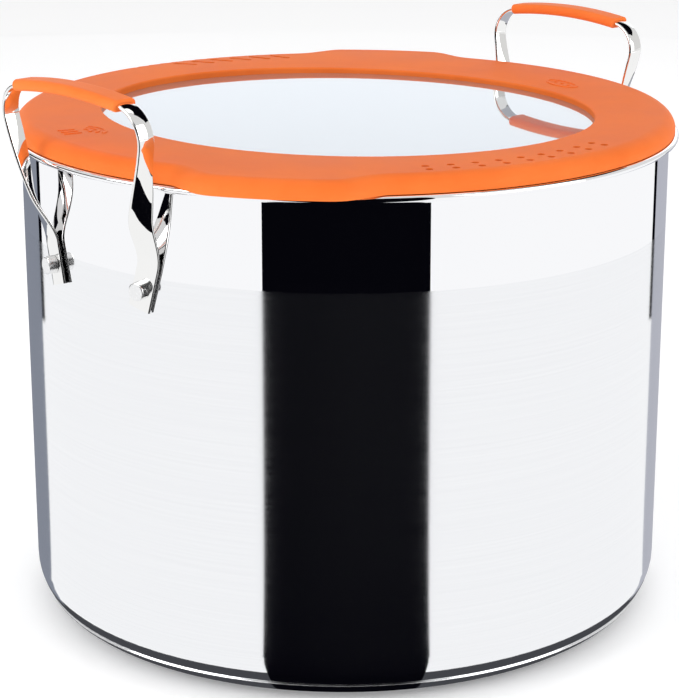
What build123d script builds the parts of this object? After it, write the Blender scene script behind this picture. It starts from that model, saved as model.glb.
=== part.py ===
"""Deep stockpot with riveted strap handles, silicone grips and a glass strainer lid.

Millimetres. +Z is up, the origin is the centre of the base's underside, and the two
handles lie on the X axis: the left one at -X, the right one at +X.
"""

import os
from math import acos, atan2, cos, degrees, radians, sin, tan

from build123d import *

# Pot shell
POT_R = 140.0  # outer radius of the wall
POT_H = 212.9  # floor to the top of the rim
WALL = 0.8
CORNER_R = 20.6  # outer radius between wall and base
HIDDEN_BEND_R = 7.0  # tighter bend of the shell behind the capsule's edge
RIM_R = 144.0  # outer radius of the pressed rim
RIM_T = 2.8  # height of the rim's bead
RIM_INNER_R = 1.6  # rounding of the rim's inner edge
RIM_UNDER_R = 1.0  # rounding where the wall turns out into the rim

# Capsule base: a steel cap pressed over an aluminium disc
CAP_T = 0.6
CAP_EDGE_DEG = 38.5  # how far down the corner's arc the cap's edge sits
CAP_EDGE_R = 0.25
SHELL_BEND_DEG = 45.0  # where the shell turns in, hidden by the cap
CORE_R = 129.0
PLATE_R = 20.0  # radius of the shallow dish pressed in the middle of the cap
PLATE_DEPTH = 0.25

# Strap handles
STRAP_TOP_W = 7.8  # width of the strap over the grip
STRAP_PAD_W = 10.6  # its width where it lies on the wall
STRAP_T = 2.2
STRAP_EDGE = 0.7  # depth of the strap's round edges
STRAP_CROWN = 0.35  # how much its faces bulge
LOOP_TOP_X = 148.6  # distance of the grip's centre line from the pot's axis
LOOP_RIM_X = 145.8  # the same at the height of the rim
LOOP_TOP_V = 33.5  # height of the strap's middle above the rim
GRIP_HALF = 31.3  # half length of the grip
GRIP_DROP = 2.2  # how much lower the strap is at the grip's ends
SHOULDER_R = 12.4  # radius of the bend beside the grip
LEG_LEAN_DEG = 14.0  # slope of the legs towards each other
BEND_TOP_V = -12.0  # height where the leg starts to bend to the wall
PAD_LEAN_DEG = 16.0  # slope of the strap's ends towards each other
PAD_DEG = 11.2  # angle between a rivet and the handle's middle
PAD_TOP_V = -35.0  # height where the strap lies flat on the wall
RIVET_V = -43.4  # height of the rivets
PAD_END_V = -51.4  # lower end of the strap
PAD_GAP = 0.05
STRAIGHT_STEPS = 6
BEND_STEPS = 10
SHOULDER_STEPS = 10
TOP_STEPS = 5

# Grips
GRIP_W = 11.3
GRIP_T = 4.7
GRIP_CORNER_R = 2.2
GRIP_SLOT_GAP = 0.05
GRIP_LIP_R = 0.7

# Rivets
SHANK_R = 2.5
RIVET_HOLE_R = 2.55
HEAD_R = 3.65
HEAD_T = 4.0
HEAD_EDGE_R = 0.6
BACK_HEAD_R = 4.5
BACK_HEAD_T = 1.4
BACK_HEAD_GAP = 0.1

# Lid: heights are measured from the rim's top
GLASS_R = 118.0
GLASS_TOP = 3.8
GLASS_BOTTOM = -0.2
GLASS_EDGE_R = 1.0
RING_R = 142.5
RING_TOP = 7.4
RING_BOTTOM = 0.3  # clearance under the ring, above the rim
RING_SHOULDER_R = 6.3
RING_CROWN_R = 133.0  # where the ring's top starts to slope towards the glass
RING_INNER_TOP = 6.0  # height of that slope at INNER_SLOPE_R
INNER_SLOPE_R = 96.0
WINDOW_A = 109.8  # half axes of the window over the glass
WINDOW_B = 97.0
WINDOW_DEG = 106.0  # direction of the longer one
WINDOW_EDGE_R = 0.8
LIP_INNER_R = 112.0  # lower lip that holds the glass
LIP_BOTTOM = -4.0
CHANNEL_IN_R = 122.5  # the space under the strainer holes
CHANNEL_OUT_R = 135.7
CHANNEL_TOP = 3.4
SKIRT_R = 138.2
SKIRT_BOTTOM = -7.5
SKIRT_EDGE_R = 0.8

# Lifting tabs
TAB_R = 152.6
TAB_DEGS = (214.5, 37.5)
TAB_HALF_DEG = 10.7
TAB_ROOT_DEG = 16.7
TAB_BLEND_R = 16.0

# Strainer holes and slots
HOLE_R = 1.6
HOLE_ROWS = (126.3, 132.3)
HOLES_PER_ROW = 9
HOLE_PITCH_DEG = 4.7
HOLES_MID_DEG = 258.0
SLOT_COUNT = 6
SLOT_PITCH_DEG = 4.4
SLOTS_MID_DEG = 71.0
SLOT_RING_R = 129.1
SLOT_LENGTH = 12.0
SLOT_WIDTH = 2.6
SLOT_SLANT_DEG = 42.0

# Raised marks on the ring, one beside each pouring side
MARK_HEIGHT = 0.35
MARK_LINE = 1.3
ARC_MARK_DEG = 163.0
ARC_MARK_R = 122.0
ARC_MARK_RADII = (3.5, 6.6, 9.7)
ARC_MARK_HALF_DEG = 50.0
BAR_MARK_R = 127.5
BAR_MARK_LENGTH = 7.5
BAR_MARK_PITCH = 3.8
DISH_MARK_DEG = 345.0
DISH_MARK_R = 114.0
DISH_HALF_LONG = 11.0
DISH_HALF_WIDE = 4.6
DISH_DOT_R = 0.8
DISH_DOT_PITCH = 5.0

os.makedirs("parts", exist_ok=True)


def polar_point(radius, angle_deg):
    """A point of the XY plane from its radius and direction."""
    return (radius * cos(radians(angle_deg)), radius * sin(radians(angle_deg)))


def corner_point(radius, down_deg):
    """A point (r, z) on the arc about the corner's centre, down_deg below the horizontal."""
    centre = (POT_R - CORNER_R, CORNER_R + CAP_T)
    return (centre[0] + radius * cos(radians(down_deg)), centre[1] - radius * sin(radians(down_deg)))


def bend_centre():
    """Centre of the shell's hidden bend, tangent to the corner's arc at SHELL_BEND_DEG."""
    return corner_point(CORNER_R - HIDDEN_BEND_R, SHELL_BEND_DEG)


def bend_point(radius, down_deg):
    """A point (r, z) on the arc about the hidden bend's centre."""
    centre = bend_centre()
    return (centre[0] + radius * cos(radians(down_deg)), centre[1] - radius * sin(radians(down_deg)))


def save(piece, name):
    """Label a finished piece and write its STEP file."""
    piece.part.label = name
    export_step(piece.part, f"parts/{name}.step")


def rivet_plane(angle_deg):
    """Plane on a rivet's axis at the pot's axis, its normal pointing out through the rivet."""
    outward = (*polar_point(1.0, angle_deg), 0)
    return Plane(origin=(0, 0, POT_H + RIVET_V), x_dir=(0, 0, 1), z_dir=outward)


RIVET_ANGLES = {
    "left_front_rivet": 180 + PAD_DEG,
    "left_back_rivet": 180 - PAD_DEG,
    "right_front_rivet": -PAD_DEG,
    "right_back_rivet": PAD_DEG,
}


# Pot shell: one drawn piece, its rim folded out and pressed closed
FLOOR_UNDER = bend_point(HIDDEN_BEND_R, 90)[1]
MID_BEND_DEG = (SHELL_BEND_DEG + 90) / 2
rim_round = RIM_T / 2

with BuildPart() as pot_body:
    with BuildSketch(Plane.XZ):
        with BuildLine():
            Line((0, FLOOR_UNDER), bend_point(HIDDEN_BEND_R, 90))
            ThreePointArc(
                bend_point(HIDDEN_BEND_R, 90),
                bend_point(HIDDEN_BEND_R, MID_BEND_DEG),
                bend_point(HIDDEN_BEND_R, SHELL_BEND_DEG),
            )
            ThreePointArc(
                corner_point(CORNER_R, SHELL_BEND_DEG),
                corner_point(CORNER_R, SHELL_BEND_DEG / 2),
                corner_point(CORNER_R, 0),
            )
            Polyline(
                corner_point(CORNER_R, 0),
                (POT_R, POT_H - RIM_T),
                (RIM_R - rim_round, POT_H - RIM_T),
            )
            ThreePointArc(
                (RIM_R - rim_round, POT_H - RIM_T),
                (RIM_R, POT_H - rim_round),
                (RIM_R - rim_round, POT_H),
            )
            Polyline(
                (RIM_R - rim_round, POT_H),
                (POT_R - WALL, POT_H),
                corner_point(CORNER_R - WALL, 0),
            )
            ThreePointArc(
                corner_point(CORNER_R - WALL, 0),
                corner_point(CORNER_R - WALL, SHELL_BEND_DEG / 2),
                corner_point(CORNER_R - WALL, SHELL_BEND_DEG),
            )
            ThreePointArc(
                bend_point(HIDDEN_BEND_R - WALL, SHELL_BEND_DEG),
                bend_point(HIDDEN_BEND_R - WALL, MID_BEND_DEG),
                bend_point(HIDDEN_BEND_R - WALL, 90),
            )
            Polyline(
                bend_point(HIDDEN_BEND_R - WALL, 90),
                (0, FLOOR_UNDER + WALL),
                (0, FLOOR_UNDER),
            )
        make_face()
    revolve(axis=Axis.Z)
    rim_edges = pot_body.edges().filter_by(GeomType.CIRCLE)
    inner_rim_edge = rim_edges.group_by(Axis.Z)[-1].sort_by(SortBy.RADIUS)[0]
    fillet(inner_rim_edge, radius=RIM_INNER_R)
    under_rim = rim_edges.filter_by(lambda e: abs(e.center().Z - POT_H + RIM_T) < 0.01)
    fillet(under_rim.sort_by(SortBy.RADIUS)[0], radius=RIM_UNDER_R)
    for rivet_angle in RIVET_ANGLES.values():
        with BuildSketch(rivet_plane(rivet_angle)):
            Circle(RIVET_HOLE_R)
        extrude(amount=POT_R + WALL, mode=Mode.SUBTRACT)
save(pot_body, "pot_body")


# Aluminium disc between the shell and the steel cap
FLAT_R = POT_R - CORNER_R
core_side_deg = degrees(acos((CORE_R - FLAT_R) / CORNER_R))
with BuildPart() as base_core:
    with BuildSketch(Plane.XZ):
        with BuildLine():
            Line((0, CAP_T), (FLAT_R, CAP_T))
            ThreePointArc(
                (FLAT_R, CAP_T),
                corner_point(CORNER_R, (90 + core_side_deg) / 2),
                corner_point(CORNER_R, core_side_deg),
            )
            Polyline(
                corner_point(CORNER_R, core_side_deg),
                (CORE_R, FLOOR_UNDER),
                (0, FLOOR_UNDER),
                (0, CAP_T),
            )
        make_face()
    revolve(axis=Axis.Z)
save(base_core, "base_core")


# Steel cap that covers the disc and follows the pot's corner
with BuildPart() as base_cap:
    with BuildSketch(Plane.XZ):
        with BuildLine():
            Line((0, 0), (FLAT_R, 0))
            ThreePointArc(
                (FLAT_R, 0),
                corner_point(CORNER_R + CAP_T, (90 + CAP_EDGE_DEG) / 2),
                corner_point(CORNER_R + CAP_T, CAP_EDGE_DEG),
            )
            Line(corner_point(CORNER_R + CAP_T, CAP_EDGE_DEG), corner_point(CORNER_R, CAP_EDGE_DEG))
            ThreePointArc(
                corner_point(CORNER_R, CAP_EDGE_DEG),
                corner_point(CORNER_R, (90 + CAP_EDGE_DEG) / 2),
                (FLAT_R, CAP_T),
            )
            Polyline((FLAT_R, CAP_T), (0, CAP_T), (0, 0))
        make_face()
    revolve(axis=Axis.Z)
    cap_edges = base_cap.edges().filter_by(GeomType.CIRCLE).group_by(Axis.Z)[-2:]
    cap_outer_edge = max((e for group in cap_edges for e in group), key=lambda e: e.radius)
    fillet(cap_outer_edge, radius=CAP_EDGE_R)
    with BuildSketch(Plane.XY):
        Circle(PLATE_R)
    extrude(amount=PLATE_DEPTH, mode=Mode.SUBTRACT)
save(base_cap, "base_cap")


# Strap handles. Each is one flat strip: bent edge on over the grip, leaning slightly out,
# then twisted a quarter turn on each leg so that its ends lie flat on the wall.
# The left handle is made first, and its front half is mirrored to its back half.
lean_deg = degrees(atan2(LOOP_TOP_X - LOOP_RIM_X, LOOP_TOP_V))
loop_up = Vector(-sin(radians(lean_deg)), 0, cos(radians(lean_deg)))
loop_out = Vector(-cos(radians(lean_deg)), 0, -sin(radians(lean_deg)))
loop_plane = Plane(origin=(-LOOP_RIM_X, 0, POT_H), x_dir=(0, -1, 0), z_dir=loop_out)

grip_end_deg = degrees(2 * atan2(GRIP_DROP, GRIP_HALF))


def top_point(share):
    """A point of the arched top, share of the way from its middle to the grip's end."""
    return (GRIP_HALF * share, LOOP_TOP_V - GRIP_DROP * share**2)


def shoulder_point(heading_deg):
    """A point of the bend beside the grip, where the strip heads this far below level."""
    centre_u = GRIP_HALF - SHOULDER_R * sin(radians(grip_end_deg))
    centre_v = LOOP_TOP_V - GRIP_DROP - SHOULDER_R * cos(radians(grip_end_deg))
    heading = radians(heading_deg)
    return (centre_u + SHOULDER_R * sin(heading), centre_v + SHOULDER_R * cos(heading))


def loop_station(point, heading_deg, tilt_deg):
    """Plane across the strip at a point (u, v) of the loop's plane.

    The strip's width is tilted from the plane's normal: it lies level under the grip.
    """
    heading = radians(heading_deg)
    tilt = radians(tilt_deg)
    along = loop_plane.x_dir * cos(heading) - loop_up * sin(heading)
    upward = loop_plane.x_dir * sin(heading) + loop_up * cos(heading)
    across = loop_out * cos(tilt) + upward * sin(tilt)
    return Plane(origin=loop_plane.from_local_coords(Vector(*point, 0)), x_dir=across, z_dir=along)


def ease(t):
    """Smooth step from 0 to 1."""
    return t * t * (3 - 2 * t)


leg_heading_deg = 90 + LEG_LEAN_DEG
leg_slope = tan(radians(LEG_LEAN_DEG))
shoulder_end = shoulder_point(leg_heading_deg)
leg_down = (loop_plane.x_dir * -leg_slope - loop_up).normalized()
pad_outward = Vector(*polar_point(1, 180 + PAD_DEG), 0)
pad_inward = Vector(*polar_point(1, 90 + PAD_DEG), 0)
pad_slope = tan(radians(PAD_LEAN_DEG))
pad_down = (pad_inward * pad_slope - Vector(0, 0, 1)).normalized()
pad_centre_r = POT_R + PAD_GAP + STRAP_T / 2


def leg_station(at, along):
    """Plane across the leg and the strip's width there.

    From the shoulder down to the pad, the strip turns a quarter turn and grows wider.
    """
    shoulder_z = POT_H + shoulder_end[1]
    share = ease((shoulder_z - at.Z) / (shoulder_z - POT_H - PAD_TOP_V))
    turn = radians(90) * share
    across = loop_out * cos(turn) + pad_inward * sin(turn)
    across = (across - along * across.dot(along)).normalized()
    width = STRAP_TOP_W + (STRAP_PAD_W - STRAP_TOP_W) * share
    return (Plane(origin=at, x_dir=across, z_dir=along), width)


def straight_station(t):
    """Station on the straight leg: t runs from 0 at the shoulder to 1 at the bend."""
    v = shoulder_end[1] + (BEND_TOP_V - shoulder_end[1]) * t
    u = shoulder_end[0] - (shoulder_end[1] - v) * leg_slope
    return leg_station(loop_plane.from_local_coords(Vector(u, v, 0)), leg_down)


def bend_station(t):
    """Station on the bend to the wall: t runs from 0 at the straight leg to 1 at the pad."""
    start = straight_station(1)[0].origin
    end = pad_outward * pad_centre_r + Vector(0, 0, POT_H + RIVET_V)
    end += pad_down * ((RIVET_V - PAD_TOP_V) / cos(radians(PAD_LEAN_DEG)))
    reach = (end - start).length
    leave = leg_down * reach
    arrive = pad_down * reach
    at = (
        start * (2 * t**3 - 3 * t**2 + 1)
        + leave * (t**3 - 2 * t**2 + t)
        + end * (3 * t**2 - 2 * t**3)
        + arrive * (t**3 - t**2)
    )
    along = (
        start * (6 * t**2 - 6 * t)
        + leave * (3 * t**2 - 4 * t + 1)
        + end * (6 * t - 6 * t**2)
        + arrive * (3 * t**2 - 2 * t)
    ).normalized()
    return leg_station(at, along)


def mirrored(station):
    """The same station on the handle's back half, looking the same way along the strip."""
    plane, width = station
    origin, across, along = plane.origin, plane.x_dir, plane.z_dir
    back_plane = Plane(
        origin=(origin.X, -origin.Y, origin.Z),
        x_dir=(across.X, -across.Y, across.Z),
        z_dir=(-along.X, along.Y, -along.Z),
    )
    return (back_plane, width)


def strip_outline(width, thickness):
    """Outline of the strip: two crowned faces joined by round edges."""
    side = width / 2 - STRAP_EDGE
    face = thickness / 2 - STRAP_CROWN
    with BuildLine() as outline:
        ThreePointArc((-side, -face), (0, -thickness / 2), (side, -face))
        ThreePointArc((side, -face), (width / 2, 0), (side, face))
        ThreePointArc((side, face), (0, thickness / 2), (-side, face))
        ThreePointArc((-side, face), (-width / 2, 0), (-side, -face))
    make_face(outline.edges())


top_stations = []
for step in range(TOP_STEPS + 1):
    turned = grip_end_deg * step / TOP_STEPS
    top_stations.append((loop_station(top_point(step / TOP_STEPS), turned, lean_deg), STRAP_TOP_W))
shoulder_stations = []
for step in range(1, SHOULDER_STEPS):
    heading_here = grip_end_deg + (leg_heading_deg - grip_end_deg) * step / SHOULDER_STEPS
    tilt_here = lean_deg * (1 - step / SHOULDER_STEPS)
    here = loop_station(shoulder_point(heading_here), heading_here, tilt_here)
    shoulder_stations.append((here, STRAP_TOP_W))
leg_stations = [straight_station(step / STRAIGHT_STEPS) for step in range(STRAIGHT_STEPS)]
leg_stations += [bend_station(step / BEND_STEPS) for step in range(BEND_STEPS + 1)]
pad_end = bend_station(1)[0].offset((PAD_TOP_V - PAD_END_V) / cos(radians(PAD_LEAN_DEG)))
front_stations = top_stations + shoulder_stations + leg_stations + [(pad_end, STRAP_PAD_W)]
back_stations = [mirrored(station) for station in reversed(front_stations[1:])]

with BuildPart() as left_handle_strap:
    for plane, width in back_stations + front_stations:
        with BuildSketch(plane):
            strip_outline(width, STRAP_T)
    loft(ruled=True)
    for name in ("left_front_rivet", "left_back_rivet"):
        with BuildSketch(rivet_plane(RIVET_ANGLES[name])):
            Circle(RIVET_HOLE_R)
        extrude(amount=POT_R + 2 * STRAP_T, mode=Mode.SUBTRACT)
save(left_handle_strap, "left_handle_strap")

with BuildPart() as right_handle_strap:
    add(left_handle_strap.part, rotation=(0, 0, 180))
save(right_handle_strap, "right_handle_strap")


# Silicone grips: a sleeve over the top of each strap, rounded at both mouths
grip_stations = [mirrored(station) for station in reversed(top_stations[1:])] + top_stations

with BuildPart() as left_grip:
    for plane, width in grip_stations:
        with BuildSketch(plane):
            RectangleRounded(GRIP_W, GRIP_T, GRIP_CORNER_R)
    loft()
    mouths = left_grip.faces().sort_by(Axis.Y)
    fillet(mouths[0].edges() + mouths[-1].edges(), radius=GRIP_LIP_R)
    for plane, width in grip_stations:
        with BuildSketch(plane):
            strip_outline(width + 2 * GRIP_SLOT_GAP, STRAP_T + 2 * GRIP_SLOT_GAP)
    loft(ruled=True, mode=Mode.SUBTRACT)
save(left_grip, "left_grip")

with BuildPart() as right_grip:
    add(left_grip.part, rotation=(0, 0, 180))
save(right_grip, "right_grip")


# Rivets: a tall flat head outside, the shank through strap and wall, a low head inside
for name, angle in RIVET_ANGLES.items():
    axis_plane = rivet_plane(angle)
    rivet_axis = Axis(axis_plane.origin, axis_plane.z_dir)
    back_face = (POT_R - WALL) * cos(BACK_HEAD_R / POT_R) - BACK_HEAD_GAP
    pad_face = POT_R + PAD_GAP + STRAP_T
    with BuildPart() as rivet:
        with BuildSketch(axis_plane.offset(back_face - BACK_HEAD_T)):
            Circle(BACK_HEAD_R)
        extrude(amount=BACK_HEAD_T)
        chamfer(rivet.edges().sort_by(rivet_axis)[0], length=BACK_HEAD_T / 2)
        with BuildSketch(axis_plane.offset(back_face)):
            Circle(SHANK_R)
        extrude(amount=pad_face - back_face)
        with BuildSketch(axis_plane.offset(pad_face)):
            Circle(HEAD_R)
        extrude(amount=HEAD_T)
        fillet(rivet.edges().sort_by(rivet_axis)[-1], radius=HEAD_EDGE_R)
    save(rivet, name)


# Lid glass: a flat tempered disc with a rounded edge
with BuildPart() as lid_glass:
    with BuildSketch(Plane.XY.offset(POT_H + GLASS_BOTTOM)):
        Circle(GLASS_R)
    extrude(amount=GLASS_TOP - GLASS_BOTTOM)
    fillet(lid_glass.edges().filter_by(GeomType.CIRCLE), radius=GLASS_EDGE_R)
save(lid_glass, "lid_glass")


# Raised marks on the lid's ring: three arcs with three bars by the left handle, and a dish
# with three dots by the right handle
def crown_profile(rise):
    """Outline (r, z) between the ring's crowned top, raised by rise, and a line well above it."""
    outer = (RING_CROWN_R, POT_H + RING_TOP + rise)
    middle_r = (RING_CROWN_R + INNER_SLOPE_R) / 2
    middle = (middle_r, POT_H + RING_TOP - (RING_TOP - RING_INNER_TOP) / 4 + rise)
    inner = (INNER_SLOPE_R, POT_H + RING_INNER_TOP + rise)
    above = POT_H + 2 * RING_TOP
    ThreePointArc(outer, middle, inner)
    Polyline(inner, (INNER_SLOPE_R, above), (RING_CROWN_R, above), outer)


with BuildPart() as ring_marks:
    with BuildSketch(Plane.XY.offset(POT_H + RING_INNER_TOP - 1)):
        for arc_radius in ARC_MARK_RADII:
            with Locations(Location((*polar_point(ARC_MARK_R, ARC_MARK_DEG), 0), ARC_MARK_DEG)):
                SlotArc(
                    CenterArc((0, 0), arc_radius, 180 - ARC_MARK_HALF_DEG, 2 * ARC_MARK_HALF_DEG),
                    height=MARK_LINE,
                )
        with Locations(Location((*polar_point(BAR_MARK_R, ARC_MARK_DEG), 0), ARC_MARK_DEG)):
            with GridLocations(0, BAR_MARK_PITCH, 1, 3):
                SlotOverall(BAR_MARK_LENGTH, MARK_LINE)
        dish_centre = Location((*polar_point(DISH_MARK_R, DISH_MARK_DEG), 0), DISH_MARK_DEG + 90)
        with Locations(dish_centre):
            Ellipse(DISH_HALF_LONG, DISH_HALF_WIDE)
            Ellipse(DISH_HALF_LONG - MARK_LINE, DISH_HALF_WIDE - MARK_LINE, mode=Mode.SUBTRACT)
            with GridLocations(DISH_DOT_PITCH, 0, 3, 1):
                Circle(DISH_DOT_R)
    extrude(amount=RING_TOP)
    with BuildSketch(Plane.XZ):
        with BuildLine():
            crown_profile(MARK_HEIGHT)
        make_face()
    revolve(axis=Axis.Z, mode=Mode.SUBTRACT)


# Lid ring: silicone, with two lifting tabs, strainer holes, slots, the groove that holds the
# glass and a skirt that centres it inside the pot
def near_tab(vertex):
    """True for the outline's corners at the tabs."""
    angle = degrees(atan2(vertex.Y, vertex.X))
    gaps = [abs((angle - tab_deg + 180) % 360 - 180) for tab_deg in TAB_DEGS]
    return min(gaps) < TAB_ROOT_DEG + 1


def on_window_edge(edge):
    """True for the rim of the window over the glass."""
    point = edge.position_at(0.25).rotate(Axis.Z, -WINDOW_DEG)
    reach = (point.X / WINDOW_A) ** 2 + (point.Y / WINDOW_B) ** 2
    return abs(reach - 1) < 0.01 and point.Z > POT_H + (GLASS_TOP + RING_INNER_TOP) / 2


with BuildPart() as lid_ring:
    with BuildSketch(Plane.XY.offset(POT_H + RING_BOTTOM)) as ring_outline:
        Circle(RING_R)
        for tab_deg in TAB_DEGS:
            with BuildLine():
                tab_start = polar_point(TAB_R, tab_deg - TAB_HALF_DEG)
                tab_end = polar_point(TAB_R, tab_deg + TAB_HALF_DEG)
                ThreePointArc(tab_start, polar_point(TAB_R, tab_deg), tab_end)
                Polyline(
                    tab_end,
                    polar_point(RING_R, tab_deg + TAB_ROOT_DEG),
                    polar_point(RING_R, tab_deg - TAB_ROOT_DEG),
                    tab_start,
                )
            make_face()
        fillet(ring_outline.vertices().filter_by(near_tab), radius=TAB_BLEND_R)
    extrude(amount=RING_TOP - RING_BOTTOM)
    fillet(lid_ring.faces().sort_by(Axis.Z)[-1].edges(), radius=RING_SHOULDER_R)
    with BuildSketch(Plane.XZ):
        with BuildLine():
            crown_profile(0)
        make_face()
    revolve(axis=Axis.Z, mode=Mode.SUBTRACT)
    add(ring_marks.part)

    # Skirt and the lower lip under the glass
    with BuildSketch(Plane.XY.offset(POT_H + SKIRT_BOTTOM)):
        Circle(SKIRT_R)
        Circle(CHANNEL_OUT_R, mode=Mode.SUBTRACT)
    extrude(amount=RING_BOTTOM - SKIRT_BOTTOM)
    fillet(lid_ring.edges().group_by(Axis.Z)[0], radius=SKIRT_EDGE_R)
    with BuildSketch(Plane.XY.offset(POT_H + LIP_BOTTOM)):
        Circle(CHANNEL_IN_R)
        Circle(LIP_INNER_R, mode=Mode.SUBTRACT)
    extrude(amount=RING_BOTTOM - LIP_BOTTOM)

    # Space under the holes, groove for the glass and the window above it
    with BuildSketch(Plane.XY.offset(POT_H + RING_BOTTOM)):
        Circle(CHANNEL_OUT_R)
        Circle(CHANNEL_IN_R, mode=Mode.SUBTRACT)
    extrude(amount=CHANNEL_TOP - RING_BOTTOM, mode=Mode.SUBTRACT)
    with BuildSketch(Plane.XY.offset(POT_H + GLASS_BOTTOM)):
        Circle(GLASS_R)
    extrude(amount=GLASS_TOP - GLASS_BOTTOM, mode=Mode.SUBTRACT)
    with BuildSketch(Plane.XY.offset(POT_H + GLASS_TOP)):
        Ellipse(WINDOW_A, WINDOW_B, rotation=WINDOW_DEG)
    extrude(amount=RING_TOP, mode=Mode.SUBTRACT)
    fillet(lid_ring.edges().filter_by(on_window_edge), radius=WINDOW_EDGE_R)

    # Strainer holes and slots
    with BuildSketch(Plane.XY.offset(POT_H + CHANNEL_TOP)):
        for row_radius in HOLE_ROWS:
            first_deg = HOLES_MID_DEG - HOLE_PITCH_DEG * (HOLES_PER_ROW - 1) / 2
            for number in range(HOLES_PER_ROW):
                with Locations(polar_point(row_radius, first_deg + number * HOLE_PITCH_DEG)):
                    Circle(HOLE_R)
        first_deg = SLOTS_MID_DEG - SLOT_PITCH_DEG * (SLOT_COUNT - 1) / 2
        for number in range(SLOT_COUNT):
            slot_deg = first_deg + number * SLOT_PITCH_DEG
            with Locations(polar_point(SLOT_RING_R, slot_deg)):
                SlotOverall(SLOT_LENGTH, SLOT_WIDTH, rotation=slot_deg + SLOT_SLANT_DEG)
    extrude(amount=RING_TOP, mode=Mode.SUBTRACT)
save(lid_ring, "lid_ring")
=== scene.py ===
"""Looks of the stockpot: steel, silicone and glass finishes, studio and camera.

Metres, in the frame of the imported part: +Z up, the handles on the X axis. Studio places are
given as seen from the camera: 0 degrees faces it, and angles grow to the camera's right.
"""

import math

import bpy
from mathutils import Matrix, Vector


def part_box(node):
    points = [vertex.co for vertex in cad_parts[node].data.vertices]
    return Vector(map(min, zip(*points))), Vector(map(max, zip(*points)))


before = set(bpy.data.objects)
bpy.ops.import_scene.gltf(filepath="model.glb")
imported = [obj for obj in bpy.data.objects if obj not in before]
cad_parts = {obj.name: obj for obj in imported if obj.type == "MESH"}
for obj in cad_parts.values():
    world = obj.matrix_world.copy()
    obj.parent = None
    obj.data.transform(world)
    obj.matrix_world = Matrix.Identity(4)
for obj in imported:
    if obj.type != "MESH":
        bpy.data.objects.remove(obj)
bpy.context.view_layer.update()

# The pot, from the frame
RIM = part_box("pot_body")[1]
RIM_Z = RIM.z
RIM_OVERHANG = 0.004  # how far the rim stands proud of the wall
WALL_R = RIM.x - RIM_OVERHANG
POLISHED_BAND = 0.0385  # height of the mirror band below the rim
GLASS_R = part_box("lid_glass")[1].x
GLASS_EDGE = 0.01  # width of the coloured edge

# Camera
CAMERA_AZIMUTH = -134.63  # degrees, direction from the pot to the camera
CAMERA_DISTANCE = 0.9712
CAMERA_HEIGHT = 0.4057
CAMERA_PITCH = 17.05695  # degrees, downwards
CAMERA_YAW = 1.73033
CAMERA_ROLL = 0.5042
CAMERA_LENS = 116.56  # millimetres, like the sensor
CAMERA_SENSOR = 36
CAMERA_SHIFT = (-0.1034, 0.0059)

# Reflections on the wall: the wall angles, in degrees, where they change
WEDGE_HALF_ANGLE = 14.3  # the dark middle ends
LEFT_EDGE_ANGLE = 69.2  # white turns to grey
RIGHT_EDGE_ANGLE = 71.3
EDGE_LINE_ANGLE = 1.6  # width of the dark line between white and grey
PROFILE_ANGLE = 90  # the pot's outline

# Flat cards just above the floor, in rings and fans round the pot
BASE_SHADE_Z = 0.0006
WHITE_CARD_Z = 0.0008
WEDGE_FOOT_Z = 0.0012
GREY_CARD_Z = 0.0016
WEDGE_Z = 0.002
EDGE_LINE_Z = 0.0022
BASE_SHADE_INNER_R = WALL_R - 0.04
WHITE_CARD_INNER_R = WALL_R + 0.004
CARD_REACH = 1.6
EDGE_LINE_START = 0.47  # from the wall
WEDGE_FOOT = -0.016  # from the wall
WEDGE_NEAR = 0.02
WEDGE_FAR = 0.9
WEDGE_TOP_Z = 1.1
RING_STEPS = 72
FAN_STEPS = 16
PATCH_STEPS = 12

FLOOR_HALF = 6.0
WORLD_STRENGTH = 0.72

NOISE_SPAN = (0.3, 0.7)  # where most values of a noise texture lie


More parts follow.
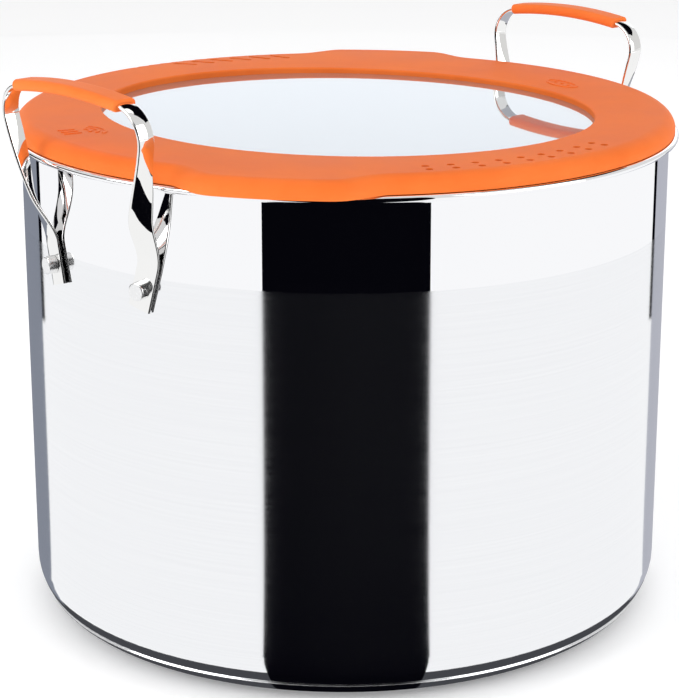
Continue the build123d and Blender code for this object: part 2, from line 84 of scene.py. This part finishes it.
# ---------------------------------------------------------------- materials
class Nodes:
    """A small helper that builds one node material."""

    def __init__(self, name):
        self.material = bpy.data.materials.new(name)
        self.material.use_nodes = True
        self.tree = self.material.node_tree
        self.shader = self.tree.nodes["Principled BSDF"]

    def add(self, kind, **values):
        """A node, with its input sockets or its settings set by name."""
        node = self.tree.nodes.new(kind)
        for key, value in values.items():
            if key in node.inputs:
                node.inputs[key].default_value = value
            else:
                setattr(node, key, value)
        return node

    def feed(self, socket, value):
        """Give a socket another node's output, or a plain value."""
        if isinstance(value, bpy.types.NodeSocket):
            self.tree.links.new(value, socket)
        else:
            socket.default_value = value

    def set(self, **values):
        """Feed the shader's sockets by name, with _ for a space."""
        for key, value in values.items():
            self.feed(self.shader.inputs[key.replace("_", " ")], value)

    def coordinates(self, kind="Object"):
        return self.add("ShaderNodeTexCoord").outputs[kind]

    def stretched(self, scale=(1, 1, 1)):
        """Object coordinates, multiplied by scale."""
        mapping = self.add("ShaderNodeMapping", Scale=scale)
        self.feed(mapping.inputs["Vector"], self.coordinates())
        return mapping.outputs["Vector"]

    def separated(self, kind="Object"):
        """X, Y and Z outputs of texture coordinates."""
        split = self.add("ShaderNodeSeparateXYZ")
        self.feed(split.inputs["Vector"], self.coordinates(kind))
        return split.outputs

    def noise(self, vector, scale, detail=3.0, roughness=0.5):
        node = self.add("ShaderNodeTexNoise", Scale=scale, Detail=detail, Roughness=roughness)
        self.feed(node.inputs["Vector"], vector)
        return node.outputs["Fac"]

    def remap(self, value, source, target=(0.0, 1.0)):
        """A value moved from one range to another, and kept within it."""
        node = self.add("ShaderNodeMapRange")
        names = ("From Min", "From Max", "To Min", "To Max")
        for name, end in zip(names, (*source, *target)):
            node.inputs[name].default_value = end
        self.feed(node.inputs["Value"], value)
        return node.outputs["Result"]

    def math(self, operation, first, second=0.0):
        node = self.add("ShaderNodeMath", operation=operation)
        self.feed(node.inputs[0], first)
        self.feed(node.inputs[1], second)
        return node.outputs["Value"]

    def level_product(self, first, second):
        """Dot product of two separated vectors, without their heights."""
        products = [self.math("MULTIPLY", first[axis], second[axis]) for axis in "XY"]
        return self.math("ADD", *products)

    def radius(self):
        """Distance from the pot's axis."""
        place = self.separated()
        return self.math("SQRT", self.level_product(place, place))

    def weighted(self, first, second, share):
        """Two layers of noise added, with the first one's share of the sum."""
        scaled = [
            self.math("MULTIPLY", layer, part)
            for layer, part in ((first, share), (second, 1 - share))
        ]
        return self.math("ADD", *scaled)

    def mix(self, factor, first, second, kind="RGBA"):
        """Between two colours, or two numbers where kind is FLOAT."""
        node = self.add("ShaderNodeMix", data_type=kind)
        for name, value in (("Factor", factor), ("A", first), ("B", second)):
            if isinstance(value, tuple):
                value = (*value, 1)
            self.feed(node.inputs[name], value)
        return node.outputs["Result"]

    def bump(self, height, distance, strength):
        node = self.add("ShaderNodeBump", Distance=distance, Strength=strength)
        self.feed(node.inputs["Height"], height)
        self.set(Normal=node.outputs["Normal"])


def wall_steel():
    """Pot shell: a mirror band under the rim, satin below it, brushed round inside."""
    nodes = Nodes("pot_wall_steel")
    place = nodes.separated()

    skin_depth = 0.0005
    skin_blur = 0.0002
    skin = (WALL_R - skin_depth, WALL_R - skin_depth + skin_blur)
    outer_skin = nodes.remap(nodes.radius(), skin)
    outward = nodes.level_product(nodes.separated("Normal"), place)
    facing_span = (0.0005, 0.002)
    faces_out = nodes.remap(outward, facing_span)
    outside = nodes.math("MAXIMUM", outer_skin, faces_out)
    band_low = RIM_Z - POLISHED_BAND
    band_blur = 0.0003
    in_band = nodes.remap(place["Z"], (band_low - band_blur, band_low))
    polished = nodes.math("MULTIPLY", outer_skin, in_band)

    streaks = nodes.noise(nodes.stretched((0.35, 0.35, 60.0)), scale=22.0, detail=5.0, roughness=0.65)
    fine = nodes.noise(nodes.stretched((1.2, 1.2, 420.0)), scale=9.0, detail=4.0, roughness=0.7)
    grain = nodes.weighted(streaks, fine, share=0.6)
    mirror_roughness = 0.012
    satin_roughness = nodes.remap(grain, NOISE_SPAN, (0.05, 0.09))
    inside_roughness = nodes.remap(grain, NOISE_SPAN, (0.26, 0.34))
    outside_roughness = nodes.mix(polished, satin_roughness, mirror_roughness, "FLOAT")

    mirror_tint = (0.975, 0.975, 0.985)
    satin_tint = nodes.mix(nodes.remap(grain, (0.25, 0.75)), (0.89, 0.895, 0.91), (0.95, 0.955, 0.965))
    tangent = nodes.add("ShaderNodeTangent", direction_type="RADIAL", axis="Z")
    nodes.set(
        Base_Color=nodes.mix(polished, satin_tint, mirror_tint),
        Metallic=nodes.remap(outside, (0.0, 1.0), (0.86, 1.0)),
        Roughness=nodes.mix(outside, inside_roughness, outside_roughness, "FLOAT"),
        Anisotropic=0.55,
        Tangent=tangent.outputs["Tangent"],
    )
    relief = nodes.math("MULTIPLY", grain, nodes.math("SUBTRACT", 1.0, polished))
    nodes.bump(relief, distance=0.00002, strength=0.2)
    return nodes.material


def cap_steel():
    """Base cap: satin, turned in fine rings underneath."""
    nodes = Nodes("cap_satin_steel")
    rings = nodes.add(
        "ShaderNodeTexWave", wave_type="RINGS", rings_direction="Z", Scale=320.0, Distortion=0.6
    )
    nodes.feed(rings.inputs["Vector"], nodes.stretched())
    speckle = nodes.noise(nodes.stretched((1, 1, 40)), scale=60.0, detail=4.0)
    grain = nodes.weighted(rings.outputs["Fac"], speckle, share=0.5)
    nodes.set(
        Base_Color=nodes.mix(grain, (0.88, 0.885, 0.90), (0.94, 0.945, 0.955)),
        Metallic=1.0,
        Roughness=nodes.remap(grain, (0.2, 0.8), (0.10, 0.2)),
        Anisotropic=0.5,
    )
    nodes.bump(grain, distance=0.00003, strength=0.3)
    return nodes.material


def plain_metal(name, dark, light, roughness, scale):
    """Metal with a fine uneven finish, its roughness between two values."""
    nodes = Nodes(name)
    marks = nodes.noise(nodes.stretched(), scale, detail=5.0, roughness=0.6)
    nodes.set(
        Base_Color=nodes.mix(marks, dark, light),
        Metallic=1.0,
        Roughness=nodes.remap(marks, NOISE_SPAN, roughness),
    )
    nodes.bump(marks, distance=0.00002, strength=0.15)
    return nodes.material


def silicone(name, deep, bright, roughness):
    """Matt moulded silicone: a soft sheen, faint mottling and a fine grain."""
    nodes = Nodes(name)
    mottle = nodes.noise(nodes.stretched(), scale=28.0, detail=4.0, roughness=0.55)
    grain = nodes.noise(nodes.stretched(), scale=2600.0, detail=2.0)
    unevenness = 0.05
    nodes.set(
        Base_Color=nodes.mix(nodes.remap(mottle, (0.35, 0.65)), deep, bright),
        Roughness=nodes.remap(mottle, NOISE_SPAN, (roughness - unevenness, roughness + unevenness)),
        Subsurface_Weight=0.1,
        Subsurface_Radius=(0.004, 0.0015, 0.0006),
        Subsurface_Scale=1.0,
        Specular_IOR_Level=0.05,
        IOR=1.41,
    )
    nodes.bump(grain, distance=0.00006, strength=0.25)
    return nodes.material


def lid_glass():
    """Tempered glass that mirrors the bright studio, faintly milky, with a green-blue edge."""
    nodes = Nodes("tempered_glass")
    edge = nodes.remap(nodes.radius(), (GLASS_R - GLASS_EDGE, GLASS_R))
    haze = nodes.noise(nodes.stretched(), scale=14.0)
    nodes.set(
        Base_Color=nodes.mix(edge, (0.72, 0.76, 0.80), (0.55, 0.74, 0.74)),
        Roughness=nodes.remap(haze, NOISE_SPAN, (0.01, 0.03)),
        Transmission_Weight=0.75,
        IOR=1.52,
        Coat_Weight=1.0,
        Coat_Roughness=0.0,
    )
    return nodes.material


def emitter(name, colour, strength=1.0):
    """A glowing or dark studio card."""
    nodes = Nodes(name)
    nodes.set(
        Base_Color=(0, 0, 0, 1),
        Roughness=1.0,
        Specular_IOR_Level=0.0,
        Emission_Color=(*colour, 1),
        Emission_Strength=strength,
    )
    return nodes.material


def give(material, *names):
    """Assign a material to carried-over nodes, and shade their faces smoothly."""
    for name in names:
        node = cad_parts[name]
        node.data.materials.clear()
        node.data.materials.append(material)
        for face in node.data.polygons:
            face.use_smooth = True


give(wall_steel(), "pot_body")
give(cap_steel(), "base_cap")
give(
    plain_metal("core_metal", (0.75, 0.76, 0.78), (0.82, 0.83, 0.85), roughness=(0.35, 0.5), scale=90.0),
    "base_core",
)
give(
    plain_metal(
        "strap_polished_steel", (0.90, 0.895, 0.88), (0.95, 0.945, 0.93), roughness=(0.02, 0.05), scale=40.0
    ),
    "left_handle_strap",
    "right_handle_strap",
)
give(
    plain_metal(
        "rivet_satin_steel", (0.86, 0.86, 0.86), (0.93, 0.93, 0.93), roughness=(0.16, 0.3), scale=300.0
    ),
    "left_front_rivet",
    "left_back_rivet",
    "right_front_rivet",
    "right_back_rivet",
)
give(
    silicone("grip_orange_silicone", (0.83, 0.172, 0.033), (0.89, 0.2, 0.045), roughness=0.45),
    "left_grip",
    "right_grip",
)
give(
    silicone("ring_orange_silicone", (0.79, 0.158, 0.029), (0.85, 0.184, 0.038), roughness=0.5),
    "lid_ring",
)
give(lid_glass(), "lid_glass")


def clean_shading(*names):
    """A modifier that joins the split faces of bent strips and shades them smoothly."""
    merge_distance = 0.000005
    sharp_angle = 45  # degrees
    group = bpy.data.node_groups.new("clean_shading", "GeometryNodeTree")
    group.interface.new_socket("Geometry", in_out="INPUT", socket_type="NodeSocketGeometry")
    group.interface.new_socket("Geometry", in_out="OUTPUT", socket_type="NodeSocketGeometry")
    entry = group.nodes.new("NodeGroupInput")
    leave = group.nodes.new("NodeGroupOutput")
    merge = group.nodes.new("GeometryNodeMergeByDistance")
    merge.inputs["Distance"].default_value = merge_distance
    forget = group.nodes.new("GeometryNodeRemoveAttribute")
    forget.inputs["Name"].default_value = "custom_normal"
    angle = group.nodes.new("GeometryNodeInputMeshEdgeAngle")
    sharp = group.nodes.new("FunctionNodeCompare")
    sharp.operation = "GREATER_THAN"
    sharp.inputs["B"].default_value = math.radians(sharp_angle)
    store = group.nodes.new("GeometryNodeStoreNamedAttribute")
    store.data_type = "BOOLEAN"
    store.domain = "EDGE"
    store.inputs["Name"].default_value = "sharp_edge"
    smooth = group.nodes.new("GeometryNodeSetShadeSmooth")
    chain = (entry, merge, forget, store, smooth, leave)
    for first, second in zip(chain, chain[1:]):
        group.links.new(first.outputs[0], second.inputs[0])
    group.links.new(angle.outputs["Unsigned Angle"], sharp.inputs["A"])
    group.links.new(sharp.outputs["Result"], store.inputs["Value"])
    for name in names:
        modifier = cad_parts[name].modifiers.new("clean_shading", "NODES")
        modifier.node_group = group


clean_shading("left_handle_strap", "right_handle_strap", "left_grip", "right_grip")


# ---------------------------------------------------------------- studio
def camera_turn(point):
    """A point given with the camera on -Y, turned to the camera's real side."""
    turn = Matrix.Rotation(math.radians(CAMERA_AZIMUTH + 90), 3, "Z")
    return turn @ Vector(point)


def add_object(name, data):
    """A new object in the scene."""
    thing = bpy.data.objects.new(name, data)
    bpy.context.scene.collection.objects.link(thing)
    return thing


def lay_floor():
    """A plain pale floor."""
    nodes = Nodes("pale_floor")
    patches = nodes.noise(nodes.stretched(), scale=1.5)
    nodes.set(
        Base_Color=nodes.mix(patches, (0.965, 0.965, 0.97), (0.985, 0.985, 0.99)),
        Roughness=0.9,
        Emission_Color=(1, 1, 1, 1),
        Emission_Strength=0.1,
    )
    mesh = bpy.data.meshes.new("floor")
    signs = ((-1, -1), (1, -1), (1, 1), (-1, 1))
    mesh.from_pydata([(x * FLOOR_HALF, y * FLOOR_HALF, 0) for x, y in signs], [], [(0, 1, 2, 3)])
    mesh.materials.append(nodes.material)
    add_object("floor", mesh)


def card(name, material, rows):
    """A flat or folded studio card through rows of points, which only reflections see."""
    mesh = bpy.data.meshes.new(name)
    width = len(rows[0])
    faces = [
        (row * width + k, row * width + k + 1, (row + 1) * width + k + 1, (row + 1) * width + k)
        for row in range(len(rows) - 1)
        for k in range(width - 1)
    ]
    mesh.from_pydata([camera_turn(point) for row in rows for point in row], [], faces)
    mesh.materials.append(material)
    piece = add_object(name, mesh)
    piece.visible_camera = False
    piece.visible_shadow = False
    piece.visible_diffuse = False
    piece.visible_transmission = False
    piece.visible_volume_scatter = False


def spread(start, end, steps):
    """Evenly spaced angles in radians, from start to end in degrees."""
    return [math.radians(start + (end - start) * step / steps) for step in range(steps + 1)]


def arc(start, end, steps, reach, height):
    """Points at one height, on an arc round the pot's axis."""
    angles = spread(start, end, steps)
    return [(reach * math.sin(angle), -reach * math.cos(angle), height) for angle in angles]


def floor_ring(inner, outer, height):
    """The two edges of a flat ring round the pot."""
    return [arc(-180, 180, RING_STEPS, radius, height) for radius in (inner, outer)]


def dome_patch(azimuths, elevations, radius):
    """Rows of points between two azimuths, one at each elevation above the rim."""
    rows = []
    for elevation in elevations:
        level = math.radians(elevation)
        height = RIM_Z + radius * math.sin(level)
        rows.append(arc(*azimuths, PATCH_STEPS, radius * math.cos(level), height))
    return rows


def mirrored_fan(start, end, travels):
    """Rows of points on the rays that the wall mirrors, for wall angles start to end.

    travels lists each row's distance from the wall, and its height.
    """
    rows = []
    for travel, height in travels:
        row = []
        for angle in spread(start, end, FAN_STEPS):
            x = WALL_R * math.sin(angle) + travel * math.sin(2 * angle)
            y = -WALL_R * math.cos(angle) - travel * math.cos(2 * angle)
            row.append((x, y, height))
        rows.append(row)
    return rows


def place_cards():
    """Everything that the steel and the glass reflect."""
    white = emitter("white_card", (0.985, 0.99, 1.0), 0.97)
    back = emitter("back_card", (0.90, 0.945, 1.0), 1.38)
    shade = emitter("shade_card", (0.06, 0.062, 0.07))
    black = emitter("black_card", (0.0015, 0.0015, 0.003))
    left_grey = emitter("left_grey_card", (0.23, 0.25, 0.30))
    right_grey = emitter("right_grey_card", (0.46, 0.47, 0.53))

    card("base_shade", shade, floor_ring(BASE_SHADE_INNER_R, WHITE_CARD_INNER_R, BASE_SHADE_Z))
    card("white_reflector", white, floor_ring(WHITE_CARD_INNER_R, CARD_REACH, WHITE_CARD_Z))

    greys = ((0, GREY_CARD_Z), (CARD_REACH, GREY_CARD_Z))
    card("left_grey_reflector", left_grey, mirrored_fan(-PROFILE_ANGLE, -LEFT_EDGE_ANGLE, greys))
    card("right_grey_reflector", right_grey, mirrored_fan(RIGHT_EDGE_ANGLE, PROFILE_ANGLE, greys))

    lines = ((EDGE_LINE_START, EDGE_LINE_Z), (CARD_REACH, EDGE_LINE_Z))
    left_line = (-LEFT_EDGE_ANGLE, EDGE_LINE_ANGLE - LEFT_EDGE_ANGLE)
    right_line = (RIGHT_EDGE_ANGLE - EDGE_LINE_ANGLE, RIGHT_EDGE_ANGLE)
    card("left_edge_line", black, mirrored_fan(*left_line, lines))
    card("right_edge_line", black, mirrored_fan(*right_line, lines))

    wedge = (
        (WEDGE_FOOT, WEDGE_FOOT_Z),
        (WEDGE_NEAR, WEDGE_Z),
        (WEDGE_FAR, WEDGE_Z),
        (WEDGE_FAR, WEDGE_TOP_Z),
    )
    card("dark_wedge", black, mirrored_fan(-WEDGE_HALF_ANGLE, WEDGE_HALF_ANGLE, wedge))

    card("dark_sky_patch", black, dome_patch((100, 190), (33, 49, 66), radius=1.3))
    card("dark_left_flag", black, dome_patch((-128, -22), (-7, 0, 9), radius=1.5))
    card("back_reflector", back, dome_patch((142, 218), (3, 14, 27), radius=1.5))


def soft_light(name, azimuth, distance, height, size, power):
    """An area light that points at the middle of the rim."""
    data = bpy.data.lights.new(name, "AREA")
    data.shape = "RECTANGLE"
    data.size, data.size_y = size
    data.energy = power
    light = add_object(name, data)
    angle = math.radians(azimuth)
    light.location = camera_turn((distance * math.sin(angle), -distance * math.cos(angle), height))
    aim = Vector((0, 0, RIM_Z)) - light.location
    light.rotation_euler = aim.to_track_quat("-Z", "Y").to_euler()


def light_world():
    """Even white light from all round."""
    world = bpy.data.worlds.new("studio")
    bpy.context.scene.world = world
    world.use_nodes = True
    background = world.node_tree.nodes["Background"]
    background.inputs["Color"].default_value = (1, 1, 1, 1)
    background.inputs["Strength"].default_value = WORLD_STRENGTH


lay_floor()
place_cards()
soft_light("left_softbox", azimuth=-62, distance=1.7, height=0.75, size=(1.4, 1.3), power=15)
soft_light("right_softbox", azimuth=62, distance=1.7, height=0.75, size=(1.4, 1.3), power=12)
soft_light("top_softbox", azimuth=170, distance=1.2, height=1.9, size=(1.6, 1.6), power=5)
soft_light("front_softbox", azimuth=-12, distance=1.9, height=0.28, size=(1.0, 0.5), power=6)
light_world()


# ---------------------------------------------------------------- camera
def place_camera():
    """The camera, looking across the pot and slightly down."""
    data = bpy.data.cameras.new("camera")
    data.lens = CAMERA_LENS
    data.sensor_width = CAMERA_SENSOR
    data.shift_x, data.shift_y = CAMERA_SHIFT
    camera = add_object("camera", data)
    pitch, yaw, roll = (math.radians(a) for a in (CAMERA_PITCH, CAMERA_YAW, CAMERA_ROLL))
    forward = Vector(
        (math.sin(yaw) * math.cos(pitch), math.cos(yaw) * math.cos(pitch), -math.sin(pitch))
    )
    right = Vector((math.cos(yaw), -math.sin(yaw), 0))
    up = right.cross(forward)
    tilted_right = right * math.cos(roll) + up * math.sin(roll)
    tilted_up = up * math.cos(roll) - right * math.sin(roll)
    axes = [camera_turn(axis) for axis in (tilted_right, tilted_up, -forward)]
    rotation = Matrix(axes).transposed().to_4x4()
    location = camera_turn((0, -CAMERA_DISTANCE, CAMERA_HEIGHT))
    camera.matrix_world = Matrix.Translation(location) @ rotation
    bpy.context.scene.camera = camera


place_camera()
bpy.context.scene.view_settings.view_transform = "Standard"
